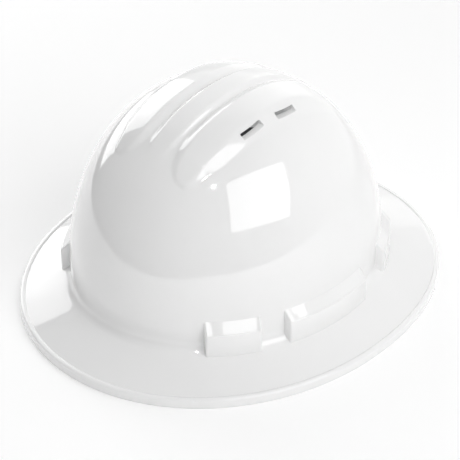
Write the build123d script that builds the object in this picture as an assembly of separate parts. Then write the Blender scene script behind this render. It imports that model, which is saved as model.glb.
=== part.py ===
"""Full brim hard hat with a four-point ratchet suspension.

Millimetres. +Z is up, the front of the hat faces -Y and the wearer's left is +X. The origin is at the middle of
the oval on which the brim's edge rests. Every function makes one piece, or one pair of like pieces, in its place.
"""
import os
from math import atan, cos, degrees, pi, radians, sin, sqrt

from build123d import *

# Shell, overall
hat_length = 330.0
hat_width = 285.6
wall = 2.6
overrun = 10.0

# Dome: an oval at each level, set by a front, a rear and a side profile
dome_front = 127.2
dome_rear = 120.7
dome_half_width = 106.3
dome_apex_y = 4.0
dome_base = 26.5
dome_top = 160.5
front_fullness = 2.18
rear_fullness = 2.0
side_fullness = 2.33
dome_levels_deg = (0, 11, 22, 33, 44, 55, 65, 74, 81, 86)

# Brim and its edge bead
rim_front_fullness = 2.04
rim_rear_fullness = 2.18
rim_points = 48
rim_height = 7.5
bead_width = 4.0
bead_step = 0.6
bead_radius = 1.0
brim_root_height = 22.2
junction_radius = 8.0

# Crown ridges
ridge_middle_y = -5.0
ridge_front_length = 76.0
ridge_rear_length = 88.0
ridge_sink = 2.0
ridge_foot_sink = 0.35
ridge_end_share = 0.96
side_ridge_x = 28.5
side_ridge_half_width = 9.5
side_ridge_rise = 4.0
side_ridge_toe = 0.5
side_flank_inner = 6.8
side_flank_outer = 11.5
side_taper_share = 1.2
side_tip_share = 0.25
middle_ridge_half_width = 8.0
middle_ridge_flank = 3.6
middle_ridge_rise = 3.2
middle_ridge_toe = 1.5
ridge_station_shares = (-0.985, -0.94, -0.84, -0.66, -0.4, 0, 0.4, 0.66, 0.84, 0.95)

# Vents, two in the outer flank of each side ridge
vent_length = 19.0
vent_height = 3.4
vent_corner = 0.9
vent_reach = 7.0
vent_places_y = (-24.4, 7.6)
vent_flank_shares = (0.45, 0.56)

# Key pockets and side housings, low on the outside of the dome
pocket_out = 6.5
pocket_edge_height = 37.0
pocket_top_height = 43.5
pocket_skin = 2.0
pocket_round = 1.2
pocket_depth_inside = 20.0
key_pocket_length = 39.0
key_pocket_deg = 49.6
side_housing_length = 75.0
side_housing_deg = 85.3
rear_pocket_length = 46.5
rear_pocket_deg = 128.6

# Keys of the suspension
clearance = 0.35
key_width = 26.0
key_blade_thickness = 2.6
key_blade_top = 31.0
key_floor = 12.4
key_plate_thickness = 2.8
key_leg_gap = 4.0
key_leg_thickness = 2.6
key_leg_top = 49.0
key_bar_height = 3.0
key_window_height = 4.5
key_window_width = 22.0
key_arm_width = 14.0
key_tab_thickness = 2.4
key_tab_height = 7.6
key_tab_gap = 0.8
key_tab_corner = 3.0
key_rib_thickness = 2.4
key_rib_height = 12.0
key_round = 2.5
stud_height = 35.6
stud_radius = 3.0
stud_head_radius = 4.2
stud_head_length = 1.4

# Crown straps
strap_width = 20.0
strap_thickness = 1.2
strap_apex_height = 120.0
strap_fullness = 2.2
strap_levels_deg = (0, 12, 25, 40, 55, 72, 90, 108, 125, 140, 155, 168, 180)
strap_turn_share = 0.3
strap_cross_gap = 0.8

# Headband
band_centre_y = -6.0
band_half_width = 77.0
band_half_length = 93.0
band_thickness = 1.6
band_floor = 12.0
band_height = 30.0
band_end_y = 3.0
band_arm_end_y = 68.0
band_arm_height = 11.0
band_lip = 1.0
band_lip_height = 2.0
band_slot_length = 9.0
band_slot_height = 3.0
band_slot_corner = 1.2
band_slot_deg = (62, 70, 78)
band_round = 5.0

# Brow pad
brow_span_deg = 38.0
brow_thickness = 4.6
brow_height = 34.0

# Side pins and nape straps
side_pin_height = 24.0
side_pin_radius = 3.0
side_pin_head_radius = 5.2
side_pin_head_length = 1.6
pin_fit = 0.06
slack = 0.32
nape_strap_thickness = 1.6
nape_strap_height = 18.0
nape_strap_fall = 4.0
nape_strap_level_y = 60.0
nape_hub_radius = 9.0
nape_free_end = 28.0
nape_end_round = 4.0
nape_lap_extra = 0.4
nape_gap = 0.5

# Ratchet gear and racks
gear_teeth = 10
gear_module = 1.0
gear_addendum_share = 0.95
gear_dedendum_share = 1.25
gear_backlash = 0.3
pressure_deg = 20
gear_tip_share = 0.4
gear_root_share = 1.4
rack_half_length = 24.0
rack_clearance = 0.45

# Ratchet casing
casing_half_width = 32.0
casing_height = 31.0
casing_corner = 9.0
casing_back = 2.2
casing_round = 0.8
cover_thickness = 2.2
shaft_radius = 3.2
shaft_flat = 2.3
boss_radius = 12.5
boss_rise = 0.6
click_notch_count = 24
click_notch_radius = 0.6
click_ring_radius = 9.5

# Knob, click disc and screws
knob_radius = 14.0
knob_length = 8.0
knob_lobes = 12
knob_scallop_radius = 2.6
knob_scallop_depth = 1.2
knob_wall = 2.0
knob_hub_radius = 5.2
knob_round = 1.0
click_disc_thickness = 0.8
click_disc_radius = 5.6
click_arm_count = 3
click_arm_width = 2.4
click_tip_radius = 0.8
screw_radius = 1.4
screw_head_radius = 2.6
screw_head_length = 1.5
screw_length = 5.0
cover_screw_x = 24.0
cover_screw_rise = 11.9

# Nape pad
nape_pad_half_length = 26.0
nape_pad_height = 25.0
nape_pad_thickness = 5.0
pad_station_shares = (-1, -0.9, -0.68, -0.36, 0, 0.36, 0.68, 0.9, 1)
pad_end_share = 0.45

# What follows from the sizes above
dome_centre_y = (dome_rear - dome_front) / 2
dome_half_length = (dome_rear + dome_front) / 2
brim_slope = (brim_root_height - rim_height + bead_step) / (hat_width / 2 - bead_width - dome_half_width)
ratchet_height = side_pin_height - nape_strap_fall
gear_pitch_radius = gear_module * gear_teeth / 2


def share_left(height, fullness, top):
    """Share of its base size that a profile keeps at a height: upright at the base and level at the top."""
    rise = min(max((height - dome_base) / (top - dome_base), 0), 1)
    return (1 - rise ** fullness) ** (1 / fullness)


def dome_sizes(height, grown):
    """Centre, half width and half length of the dome's oval at a height, with the face moved out by grown."""
    top = dome_top + grown
    front = dome_apex_y - (dome_apex_y + dome_front + grown) * share_left(height, front_fullness, top)
    rear = dome_apex_y + (dome_rear - dome_apex_y + grown) * share_left(height, rear_fullness, top)
    half_width = (dome_half_width + grown) * share_left(height, side_fullness, top)
    return (front + rear) / 2, half_width, (rear - front) / 2


def dome_height(x, y, grown=0):
    """Height of the dome's face above a point of the plan."""
    low = dome_base
    high = dome_top + grown
    for _ in range(40):
        middle = (low + high) / 2
        centre, half_width, half_length = dome_sizes(middle, grown)
        if (x / half_width) ** 2 + ((y - centre) / half_length) ** 2 < 1:
            low = middle
        else:
            high = middle
    return low


def dome(grown, bottom):
    """The dome as one smooth skin over level ovals, closed at the apex."""
    top = dome_top + grown
    heights = [bottom] + [dome_base + (top - dome_base) * sin(radians(level)) for level in dome_levels_deg]
    ovals = []
    for height in heights:
        centre, half_width, half_length = dome_sizes(height, grown)
        ovals.append(Pos(0, centre, height) * Rot(0, 0, 90) * Ellipse(half_length, half_width))
    return loft(ovals + [Vertex(0, dome_apex_y, top)])


def level_outline(half_width, half_length, centre, front_fullness, rear_fullness, height):
    """Closed level outline, an ellipse at a fullness of 2 and squarer above it."""
    points = []
    for step in range(rim_points):
        angle = 2 * pi * step / rim_points
        fullness = rear_fullness if angle < pi else front_fullness
        across = half_width * abs(cos(angle)) ** (2 / fullness) * (1 if cos(angle) > 0 else -1)
        along = half_length * abs(sin(angle)) ** (2 / fullness) * (1 if sin(angle) > 0 else -1)
        points.append(Vector(across, centre + along, height))
    shares = [step / rim_points for step in range(rim_points + 1)]
    return Face(Wire([Edge.make_spline(points, periodic=True, parameters=shares)]))


def rim_outline(inset, height):
    return level_outline(
        hat_width / 2 - inset, hat_length / 2 - inset, 0, rim_front_fullness, rim_rear_fullness, height
    )


def root_outline(inset, height):
    """Oval inside the dome's wall that the brim's slope is carried on to."""
    centre, half_width, half_length = dome_sizes(dome_base, -inset)
    return level_outline(half_width, half_length, centre, 2, 2, height)


def hat_form(lowered, dome_grown, edge_inset, fillet_radius):
    """Dome and brim as one solid, used for the outside and, drawn in by the wall, for the hollow."""
    start = rim_height - bead_step + brim_slope * (bead_width - edge_inset) - lowered
    end = brim_root_height + brim_slope * overrun - lowered
    floor = -lowered
    brim = loft([rim_outline(edge_inset, floor), rim_outline(edge_inset, start), root_outline(overrun, end)], ruled=True)
    form = dome(dome_grown, floor) + brim
    seam = [e for e in form.edges() if abs(e.center().Z - end + brim_slope * overrun) < junction_radius / 2]
    seam = [e for e in seam if e.length > dome_half_width and e.bounding_box().size.Y > dome_half_width]
    return fillet(seam, fillet_radius)


def ridge(middle_x, half_width, flank_inner, flank_outer, taper_share, rise, toe, inset):
    """One finger ridge, as a smooth skin over sections across the hat. A positive inset gives its hollow."""
    sections = []
    for share in ridge_station_shares:
        y = ridge_middle_y + share * (ridge_front_length if share < 0 else ridge_rear_length)
        narrow = sqrt(1 - share ** 8)
        fade = (1 - share ** 4) ** toe if share < 0 else 1 - share ** 2
        inner = middle_x - half_width * narrow + inset
        outer = middle_x + half_width * narrow - inset
        foot_in = inner - flank_inner * narrow
        taper = taper_share if share < 0 else ridge_end_share
        foot_out = outer + flank_outer * sqrt(max(1 - (share * taper) ** 2, side_tip_share ** 2))
        crest = (inner + outer) / 2
        lift = rise * fade - inset
        sunk = -ridge_foot_sink - inset
        low = -ridge_sink - inset
        points = [(foot_in, low), (foot_in, sunk), (inner, lift), (crest, lift)]
        points += [(outer, lift), (foot_out, sunk), (foot_out, low)]
        corners = [Vector(x, y, dome_height(x, y) + height) for x, height in points]
        edges = [Edge.make_line(corners[0], corners[1]), Edge.make_line(corners[1], corners[2])]
        edges.append(Edge.make_three_point_arc(corners[2], corners[3], corners[4]))
        edges += [Edge.make_line(corners[4], corners[5]), Edge.make_line(corners[5], corners[6])]
        edges.append(Edge.make_line(corners[6], corners[0]))
        sections.append(Face(Wire(edges)))
    return loft(sections)


def side_ridge(inset):
    flanks = (side_flank_inner, side_flank_outer, side_taper_share)
    return ridge(side_ridge_x, side_ridge_half_width, *flanks, side_ridge_rise, side_ridge_toe, inset)


def middle_ridge(inset):
    flanks = (middle_ridge_flank, middle_ridge_flank, ridge_end_share)
    return ridge(0, middle_ridge_half_width, *flanks, middle_ridge_rise, middle_ridge_toe, inset)


def mirrored(piece):
    """A piece of the wearer's left side, mirrored to the right side."""
    return mirror(piece, about=Plane.YZ)


def vent(y, share):
    """Cutter for one vent, pushed in from the side through the ridge's outer flank."""
    crest_x = side_ridge_x + side_ridge_half_width
    foot_x = crest_x + side_flank_outer
    crest_z = dome_height(crest_x, y) + side_ridge_rise
    foot_z = dome_height(foot_x, y)
    along = (dome_height(crest_x, y + vent_length) - dome_height(crest_x, y - vent_length)) / (2 * vent_length)
    x = crest_x + share * (foot_x - crest_x)
    z = crest_z - share * (crest_z - foot_z)
    plane = Plane(origin=(x, y, z), x_dir=(0, 1, along), z_dir=(1, 0, 0))
    return extrude(plane * RectangleRounded(vent_length, vent_height, vent_corner), vent_reach, both=True)


def wall_plane(turn_deg):
    """Upright plane through the dome's outer face: x is outwards, y is up and z runs along the wall.

    The turn is counted from the front, as the parameter of the base oval."""
    turn = radians(turn_deg)
    x = dome_half_width * sin(turn)
    y = dome_centre_y - dome_half_length * cos(turn)
    outward = Vector(sin(turn) / dome_half_width, -cos(turn) / dome_half_length, 0).normalized()
    return Plane(origin=(x, y, 0), x_dir=outward, z_dir=(outward.Y, -outward.X, 0))


def pocket_skirt(inset):
    """Belt round the dome whose upright face and sloping top all the pockets share."""
    centre = dome_centre_y
    slope = (pocket_top_height - pocket_edge_height) / pocket_out

    def belt(out, height):
        return Pos(0, centre, height) * Ellipse(dome_half_width + out, dome_half_length + out)

    out = pocket_out - inset
    edge = pocket_edge_height - inset / 2
    inside = out + pocket_out
    bottom = rim_height if inset == 0 else -overrun
    return loft([belt(out, bottom), belt(out, edge), belt(out - inside, edge + slope * inside)], ruled=True)


def pocket_block(turn_deg, length, height):
    """Upright block that picks one pocket out of the belt."""
    plane = wall_plane(turn_deg)
    shape = Rectangle(pocket_depth_inside, height, align=(Align.CENTER, Align.MIN))
    return extrude(plane * shape, length / 2, both=True)


def pocket(turn_deg, length):
    """One pocket's outside, with its edges rounded."""
    block = pocket_skirt(0) & pocket_block(turn_deg, length, pocket_top_height)
    outward = wall_plane(turn_deg).x_dir
    edges = []
    for edge in block.edges():
        middle = edge.center() - wall_plane(turn_deg).origin
        if middle.dot(outward) > 0 and middle.Z > rim_height:
            edges.append(edge)
    return fillet(edges, pocket_round)


def pocket_hollow(turn_deg, length):
    """The slot inside a pocket, open from beneath, with the dome's wall left standing as its inner web."""
    block = pocket_block(turn_deg, length - 2 * pocket_skin, pocket_top_height)
    return (pocket_skirt(pocket_skin) & block) - dome(0, -overrun)


def pocket_places():
    """Turn and length of each pocket of the wearer's left side."""
    return (
        (key_pocket_deg, key_pocket_length),
        (side_housing_deg, side_housing_length),
        (rear_pocket_deg, rear_pocket_length),
    )


def make_shell():
    """The moulded shell: dome, ridges, vents, pockets, brim and edge bead in one piece."""
    lip = rim_outline(0, 0)
    bead = extrude(lip, rim_height) - extrude(rim_outline(bead_width, 0), rim_height)
    bead = fillet(bead.faces().sort_by(Axis.Z)[-1].edges(), bead_radius)
    shell = hat_form(0, 0, bead_width / 2, junction_radius) + bead
    ridges = [middle_ridge(0), side_ridge(0), mirrored(side_ridge(0))]
    left_pockets = [pocket(turn, length) for turn, length in pocket_places()]
    shell = shell + ridges + left_pockets + [mirrored(p) for p in left_pockets]
    hollow = hat_form(wall, -wall, bead_width, junction_radius + wall)
    ridge_hollows = [middle_ridge(wall), side_ridge(wall), mirrored(side_ridge(wall))]
    slots = [pocket_hollow(turn, length) for turn, length in pocket_places()]
    vents = [vent(y, share) for y, share in zip(vent_places_y, vent_flank_shares)]
    cutters = [hollow] + ridge_hollows + slots + [mirrored(s) for s in slots] + vents + [mirrored(v) for v in vents]
    for cutter in cutters:
        shell = shell - cutter
    return shell


def key_reach(turn_deg):
    """Distance from the dome's outer face in to the headband's outer face, straight in from a pocket."""
    plane = wall_plane(turn_deg)
    start = plane.origin - Vector(0, band_centre_y, 0)
    inward = plane.x_dir * -1
    a = (inward.X / band_half_width) ** 2 + (inward.Y / band_half_length) ** 2
    b = start.X * inward.X / band_half_width ** 2 + start.Y * inward.Y / band_half_length ** 2
    c = (start.X / band_half_width) ** 2 + (start.Y / band_half_length) ** 2 - 1
    return (-b - sqrt(b * b - a * c)) / a


def key_slab(plane, inner, outer, floor, top, width):
    """Block of a key, between two distances out from the dome's face."""
    shape = Pos(inner, floor) * Rectangle(outer - inner, top - floor, align=Align.MIN)
    return extrude(plane * shape, width / 2, both=True)


def round_tops(block, plane):
    """Rounds the two upper corners of a key's block, seen square to the wall."""
    return fillet(block.edges().filter_by(Axis((0, 0, 0), plane.x_dir)).group_by(Axis.Z)[-1], key_round)


def make_key(turn_deg):
    """A key: a blade for the pocket, a bridge under the shell's web, a slotted leg and an arm to the headband."""
    plane = wall_plane(turn_deg)
    reach = key_reach(turn_deg)
    blade_out = clearance + key_blade_thickness
    leg_out = -wall - key_leg_gap
    leg_in = leg_out - key_leg_thickness
    tab_in = key_tab_gap - reach
    arm_floor = stud_height - key_plate_thickness / 2
    blade = round_tops(key_slab(plane, clearance, blade_out, key_floor, key_blade_top, key_width), plane)
    leg = round_tops(key_slab(plane, leg_in, leg_out, key_floor, key_leg_top, key_width), plane)
    bridge = key_slab(plane, leg_in, blade_out, key_floor, key_floor + key_plate_thickness, key_width)
    arm = key_slab(plane, tab_in, leg_in, arm_floor, arm_floor + key_plate_thickness, key_arm_width)
    face = Plane(origin=plane.origin + Vector(0, 0, stud_height), x_dir=plane.z_dir, z_dir=plane.x_dir)
    tab = extrude(face.offset(tab_in) * RectangleRounded(key_arm_width, key_tab_height, key_tab_corner), key_tab_thickness)
    rib_shape = plane * Polyline(
        (leg_in, arm_floor), (leg_in, arm_floor - key_rib_height), (leg_in - key_rib_height, arm_floor), close=True
    )
    rib = extrude(make_face(rib_shape), key_rib_thickness / 2, both=True)
    window_top = key_leg_top - key_bar_height
    window = key_slab(plane, leg_in, leg_out, window_top - key_window_height, window_top, key_window_width)
    head_start = -reach - band_thickness - key_tab_gap
    shank = extrude(face.offset(head_start) * Circle(stud_radius), tab_in - head_start)
    head = extrude(face.offset(head_start - stud_head_length) * Circle(stud_head_radius), stud_head_length)
    inner_edge = head.faces().sort_by(Axis(face.origin, face.z_dir))[0].edges()
    head = chamfer(inner_edge, stud_head_length / 2)
    return blade + leg + bridge + arm + tab + rib + shank + head - window


def strap_start(turn_deg):
    """Where a crown strap leaves its key: above the bar, on the head side."""
    plane = wall_plane(turn_deg)
    inward = wall + key_leg_gap + key_leg_thickness + slack + strap_thickness
    return plane.origin - plane.x_dir * inward + Vector(0, 0, key_leg_top)


def strap_loop(turn_deg):
    """The strap's sewn end, folded round the key's bar."""
    plane = wall_plane(turn_deg)
    middle_x = -wall - key_leg_gap - key_leg_thickness / 2
    middle_y = key_leg_top - key_bar_height / 2
    hole_width = key_leg_thickness + 2 * slack
    hole_height = key_bar_height + 2 * slack
    outside = RectangleRounded(hole_width + 2 * strap_thickness, hole_height + 2 * strap_thickness, key_round / 2)
    shape = plane * Pos(middle_x, middle_y) * (outside - RectangleRounded(hole_width, hole_height, slack))
    return extrude(shape, strap_width / 2 - slack, both=True)


def make_crown_strap(front_turn, rear_turn, lifted):
    """A webbing strap from a front key over the head to the opposite rear key."""
    start = strap_start(front_turn)
    end = strap_start(rear_turn)
    middle = (start + end) / 2
    half_span = (start - end).length / 2
    along = (start - end).normalized()
    across = Vector(-along.Y, along.X, 0)
    rise = strap_apex_height + lifted - start.Z
    sections = []
    for level in strap_levels_deg:
        c = cos(radians(level))
        s = sin(radians(level))
        reach = half_span * abs(c) ** (2 / strap_fullness) * (1 if c > 0 else -1)
        height = rise * abs(s) ** (2 / strap_fullness)
        place = middle + along * reach + Vector(0, 0, height)
        slope_in = abs(c) ** (2 - 2 / strap_fullness) * half_span ** -1 * (1 if c > 0 else -1)
        slope_up = abs(s) ** (2 - 2 / strap_fullness) / rise
        outward = (along * slope_in + Vector(0, 0, slope_up)).normalized()
        turned = max(1 - min(level, 180 - level) / (180 * strap_turn_share), 0)
        turned = turned * turned * (3 - 2 * turned)
        key_across = wall_plane(front_turn if level < 90 else rear_turn).z_dir
        if key_across.dot(across) < 0:
            key_across = key_across * -1
        width_dir = (across * (1 - turned) + key_across * turned).normalized()
        tangent = width_dir.cross(outward).normalized()
        section = Plane(origin=place, x_dir=width_dir, z_dir=tangent)
        sections.append(section * Rectangle(strap_width, strap_thickness))
    return loft(sections) + strap_loop(front_turn) + strap_loop(rear_turn)


def band_ring(inner, outer, floor, top, longer=0):
    """Upright oval ring between two distances from the headband's outer face."""
    big = Ellipse(band_half_length + outer + longer, band_half_width + outer)
    small = Ellipse(band_half_length + inner + longer, band_half_width + inner)
    return extrude(Pos(0, band_centre_y, floor) * Rot(0, 0, -90) * (big - small), top - floor)


def band_plane(turn_deg, out):
    """Upright plane across the headband, x outwards and y up, turned from the front."""
    turn = radians(turn_deg)
    outward = Vector(sin(turn) / band_half_width, -cos(turn) / band_half_length, 0).normalized()
    place = Vector(band_half_width * sin(turn), band_centre_y - band_half_length * cos(turn), 0)
    return Plane(origin=place + outward * out, x_dir=outward, z_dir=(outward.Y, -outward.X, 0))


def round_bar(x, y, z, radius, start, end, direction):
    """Cylinder along an axis, between two distances from a point."""
    plane = Plane(origin=(x, y, z), z_dir=direction).offset(start)
    return extrude(plane * Circle(radius), end - start)


def side_outline(shape):
    """Prism across the whole hat from an outline drawn in y and z."""
    return extrude(Plane.YZ * shape, hat_width, both=True)


def make_headband():
    """The headband: an oval strip round the brow and temples, with two upper arms back to the rear keys."""
    top = band_floor + band_height
    band = band_ring(-band_thickness, 0, band_floor, top) + band_ring(0, band_lip, top - band_lip_height, top)
    keep = Pos(band_end_y, band_floor) * RectangleRounded(hat_length, band_height, band_round, align=(Align.MAX, Align.MIN))
    arm_place = Pos(band_arm_end_y, top)
    keep += arm_place * RectangleRounded(hat_length, band_arm_height, band_round, align=(Align.MAX, Align.MAX))
    band = band & side_outline(keep)
    for turn in (key_pocket_deg, 180 - key_pocket_deg):
        for side in (1, -1):
            plane = wall_plane(side * turn)
            origin = plane.origin + Vector(0, 0, stud_height)
            band -= round_bar(*origin, stud_radius + pin_fit, -hat_width / 4, 0, plane.x_dir)
    band -= round_bar(0, band_centre_y, side_pin_height, side_pin_radius + pin_fit, -hat_width, hat_width, (1, 0, 0))
    for turn in band_slot_deg:
        for side in (1, -1):
            plane = band_plane(side * turn, 0)
            face = Plane(origin=plane.origin + Vector(0, 0, side_pin_height), x_dir=plane.z_dir, z_dir=plane.x_dir)
            slot = RectangleRounded(band_slot_length, band_slot_height, band_slot_corner)
            band -= extrude(face * slot, overrun, both=True)
    return band


def pad_loft(planes, height, thickness):
    """Cushion as a skin over ovals that draw in towards both ends."""
    sections = []
    for plane, share in zip(planes, pad_station_shares):
        fill = pad_end_share + (1 - pad_end_share) * sqrt(1 - share * share)
        oval = Ellipse(thickness / 2 * fill, height / 2 * (1 + fill) / 2)
        sections.append(plane * oval)
    return loft(sections)


def make_brow_pad():
    """The sweatband's padded front, against the inside of the headband."""
    planes = []
    for share in pad_station_shares:
        plane = band_plane(share * brow_span_deg, -band_thickness - slack - brow_thickness / 2)
        planes.append(plane * Pos(0, band_floor + band_height / 2))
    return pad_loft([Plane(p) for p in planes], brow_height, brow_thickness)


def make_side_pin():
    """Snap pin through the headband and the nape strap's eye, with a head at each end."""
    inner = band_half_width - band_thickness - slack
    outer = band_half_width + nape_gap + nape_strap_thickness + slack
    shaft = round_bar(0, band_centre_y, side_pin_height, side_pin_radius, inner, outer, (1, 0, 0))
    heads = []
    for start, end in ((inner, inner - side_pin_head_length), (outer, outer + side_pin_head_length)):
        low = min(start, end)
        high = max(start, end)
        head = round_bar(0, band_centre_y, side_pin_height, side_pin_head_radius, low, high, (1, 0, 0))
        face = head.faces().sort_by(Axis.X)[0 if end < start else -1]
        heads.append(chamfer(face.edges(), side_pin_head_length / 2))
    return shaft + heads


def rack_window(toothed_side):
    """The slot in a nape strap with teeth along its upper (1) or lower (-1) edge."""
    pitch = pi * gear_module
    tip = gear_pitch_radius - gear_module * gear_addendum_share
    root = gear_pitch_radius + gear_module * gear_dedendum_share
    plain = -gear_pitch_radius - gear_module * gear_addendum_share - rack_clearance
    lean = sin(radians(pressure_deg)) / cos(radians(pressure_deg))
    half_tooth = (pitch / 2 - gear_backlash / 2) / 2
    at_tip = half_tooth - lean * (gear_pitch_radius - tip)
    at_root = half_tooth + lean * (root - gear_pitch_radius)
    points = [(-rack_half_length, plain), (-rack_half_length, root)]
    count = int((rack_half_length - at_root) / pitch - 1 / 2)
    for tooth in range(-count - 1, count + 1):
        middle = (tooth + 1 / 2) * pitch
        points += [(middle - at_root, root), (middle - at_tip, tip), (middle + at_tip, tip), (middle + at_root, root)]
    points += [(rack_half_length, root), (rack_half_length, plain)]
    outline = Polyline(*[(x, ratchet_height + toothed_side * z) for x, z in points], close=True)
    return extrude(make_face(Plane.XZ * outline), hat_length / 2, dir=(0, 1, 0))


def make_nape_strap(longer, toothed_side):
    """The wearer's left nape strap: an eye on the side pin, a flexible run and a toothed slot at its free end."""
    half = nape_strap_height / 2
    low = ratchet_height - half - nape_strap_fall
    high = side_pin_height + half + nape_strap_fall
    ring = band_ring(nape_gap, nape_gap + nape_strap_thickness, low, high, longer)
    run = Polyline(
        (band_centre_y, side_pin_height - half),
        (nape_strap_level_y, ratchet_height - half),
        (hat_length / 2, ratchet_height - half),
        (hat_length / 2, ratchet_height + half),
        (nape_strap_level_y, ratchet_height + half),
        (band_centre_y, side_pin_height + half),
        close=True,
    )
    hub = Pos(band_centre_y, side_pin_height)
    outline = make_face(run) + hub * Circle(nape_hub_radius) - hub * Circle(side_pin_radius + pin_fit)
    strap = ring & side_outline(outline)
    keep = Pos(-nape_free_end, ratchet_height) * RectangleRounded(
        2 * hat_width, 2 * nape_strap_height, nape_end_round, align=(Align.MIN, Align.CENTER)
    )
    strap = strap & extrude(Plane.XZ * keep, hat_length, both=True)
    return strap - rack_window(toothed_side)


def rear_face(out):
    """Distance back to a layer of the ratchet, measured on its centre line."""
    return band_centre_y + band_half_length + out


def casing_outline():
    shape = Pos(0, ratchet_height) * RectangleRounded(2 * casing_half_width, casing_height, casing_corner)
    return extrude(Plane.XZ * shape, hat_length / 2, dir=(0, 1, 0))


def rear_bar(radius, start, end, x=0, rise=0):
    """Cylinder along the ratchet's axis, between two layers."""
    return round_bar(x, rear_face(0), ratchet_height + rise, radius, start, end, (0, 1, 0))


def cover_screw_places():
    return [(x, rise) for x in (-cover_screw_x, cover_screw_x) for rise in (-cover_screw_rise, cover_screw_rise)]


def cover_screw_seat():
    """How far a cover screw's head lies in front of the ratchet's middle layer."""
    x = cover_screw_x + screw_head_radius
    inner_length = band_half_length - cover_thickness
    inner_width = band_half_width - cover_thickness
    return band_centre_y + inner_length * sqrt(1 - (x / inner_width) ** 2) - rear_face(0)


channel_back = nape_gap + 2 * slack + 2 * nape_strap_thickness + nape_lap_extra
housing_back = channel_back + casing_back
boss_face = housing_back + boss_rise
knob_front = boss_face + slack
disc_front = knob_front + click_tip_radius / 2
disc_back = disc_front + click_disc_thickness
knob_floor = knob_front + knob_length - knob_wall


def make_ratchet_housing():
    """The casing behind the nape straps, with a strap channel, a bearing and a ring of click notches."""
    half_channel = nape_strap_height / 2 + slack
    casing = band_ring(slack, housing_back, 0, casing_height + ratchet_height) & casing_outline()
    casing += rear_bar(boss_radius, channel_back, boss_face)
    casing -= band_ring(-overrun, channel_back, ratchet_height - half_channel, ratchet_height + half_channel)
    casing -= rear_bar(shaft_radius + pin_fit, 0, housing_back + overrun)
    for x, rise in cover_screw_places():
        hole_end = cover_screw_seat() + screw_head_length + screw_length + slack
        casing -= rear_bar(screw_radius + pin_fit, -overrun, hole_end, x, rise)
    for notch in range(click_notch_count):
        turn = 2 * pi * notch / click_notch_count
        place = (click_ring_radius * cos(turn), rear_face(boss_face), ratchet_height + click_ring_radius * sin(turn))
        plane = Plane(origin=place, z_dir=(cos(turn), 0, sin(turn)))
        casing -= extrude(plane * Circle(click_notch_radius), click_tip_radius, both=True)
    return casing


def make_ratchet_cover():
    """The casing's head-side cover, with the gear's inner bearing and sunk screw holes."""
    cover = band_ring(-cover_thickness, 0, 0, casing_height + ratchet_height) & casing_outline()
    cover -= rear_bar(shaft_radius + pin_fit, -overrun, overrun)
    for x, rise in cover_screw_places():
        seat = cover_screw_seat()
        cover -= rear_bar(screw_radius + pin_fit, seat - overrun, overrun, x, rise)
        cover -= rear_bar(screw_head_radius + pin_fit, seat - overrun, seat + screw_head_length + pin_fit, x, rise)
    return cover


def make_ratchet_pinion():
    """The gear between both racks, with a journal in the cover and a flatted shaft for the knob."""
    tip_radius = gear_pitch_radius + gear_module * gear_addendum_share
    root_radius = gear_pitch_radius - gear_module * gear_dedendum_share
    half_tooth = (pi / gear_teeth - gear_backlash / gear_pitch_radius) / 2
    profile = (
        (root_radius, -gear_root_share), (gear_pitch_radius, -1), (tip_radius, -gear_tip_share),
        (tip_radius, gear_tip_share), (gear_pitch_radius, 1), (root_radius, gear_root_share),
    )
    points = []
    for tooth in range(gear_teeth):
        turn = pi / 2 - 2 * pi * tooth / gear_teeth
        for radius, share in profile:
            angle = turn - share * half_tooth
            points.append((radius * cos(angle), ratchet_height + radius * sin(angle)))
    outline = make_face(Plane.XZ.offset(-rear_face(slack)) * Polyline(*points, close=True))
    gear = extrude(outline, channel_back - 2 * slack, dir=(0, 1, 0))
    gear += rear_bar(shaft_radius, slack - cover_thickness, slack)
    shaft = rear_bar(shaft_radius, channel_back - slack, knob_floor - slack)
    gear += shaft - knob_flats(0)
    gear -= rear_bar(screw_radius + pin_fit, knob_floor - screw_length, knob_floor)
    return gear


def knob_flats(gap):
    """What the shaft's two flats take off behind the casing, or a shaft hole leaves, at a running gap."""
    start = rear_face(boss_face)
    length = knob_length + overrun
    cutters = []
    for side in (1, -1):
        block = Box(2 * knob_radius, length, knob_radius, align=(Align.CENTER, Align.MIN, Align.MIN))
        if side < 0:
            block = mirror(block, about=Plane.XY)
        cutters.append(Pos(0, start, ratchet_height + side * (shaft_flat + gap)) * block)
    return cutters


def flatted_hole(start, end):
    """Cutter for a hole that fits over the flatted shaft."""
    return rear_bar(shaft_radius + pin_fit, start, end) - knob_flats(pin_fit)


def make_click_disc():
    """Sprung disc on the shaft, whose arms end in tips over the casing's notches."""
    disc = rear_bar(click_disc_radius, disc_front, disc_back)
    for arm in range(click_arm_count):
        turn = 360 * arm / click_arm_count
        beam = Pos(click_ring_radius / 2, rear_face(disc_front), 0) * Box(
            click_ring_radius, click_disc_thickness, click_arm_width, align=(Align.CENTER, Align.MIN, Align.CENTER)
        )
        tip = round_bar(click_ring_radius, rear_face(0), 0, click_tip_radius, boss_face + slack / 2, disc_back, (0, 1, 0))
        disc += Pos(0, 0, ratchet_height) * Rot(0, turn, 0) * (beam + tip)
    return disc - flatted_hole(disc_front - slack, disc_back + slack)


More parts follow.
